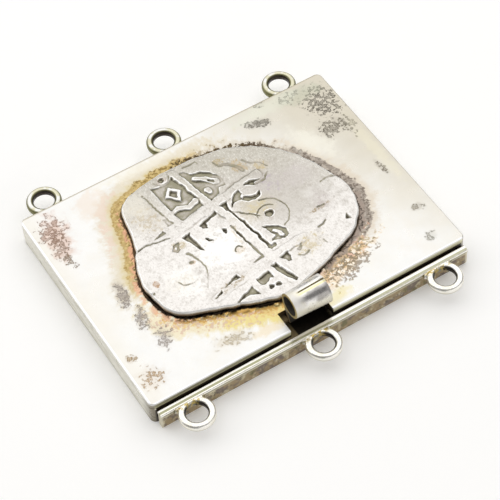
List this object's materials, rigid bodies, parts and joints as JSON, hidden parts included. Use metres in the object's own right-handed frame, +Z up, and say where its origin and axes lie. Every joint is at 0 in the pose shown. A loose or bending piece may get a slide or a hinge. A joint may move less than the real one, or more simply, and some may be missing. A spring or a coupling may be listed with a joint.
{
  "type": "necklace box clasp",
  "caption": "Flat rectangular silver box clasp for a multi-strand necklace, with an uneven hand-struck coin on its lid, a thumb roll in a notch and wire rings on both long sides.",
  "frame": {"origin": "middle of the clasp, rings included, on the surface that it lies on", "axes": "+X along the long sides, -Y towards the tongue's side, where it opens, +Z up"},
  "size_m": [0.04, 0.0378, 0.0067],
  "materials": {
    "case_silver": "worn satin silver with brown tarnish round the coin",
    "coin_silver": "worn struck silver with dark oxide in its recesses",
    "tongue_silver": "silver tarnished brown and grey, bright along its lip and rings",
    "leaf_silver": "bright rolled silver sheet"
  },
  "bodies": {
    "box": {"box": "case_silver", "coin": "coin_silver"},
    "tongue": {"tongue": "tongue_silver"},
    "spring_leaf": {"spring_leaf": "leaf_silver"}
  },
  "joints": [
    {"name": "tongue_slide", "type": "slide", "parent": "box", "child": "tongue", "axis": [0, -1, 0], "range_m": [0, 0.018]},
    {"name": "leaf_press", "type": "hinge", "parent": "tongue", "child": "spring_leaf", "pos_m": [0, 0.00271, 0.00132], "axis": [1, 0, 0], "range_deg": [0, 1.7], "stiffness_Nm_per_rad": 0.8}
  ]
}
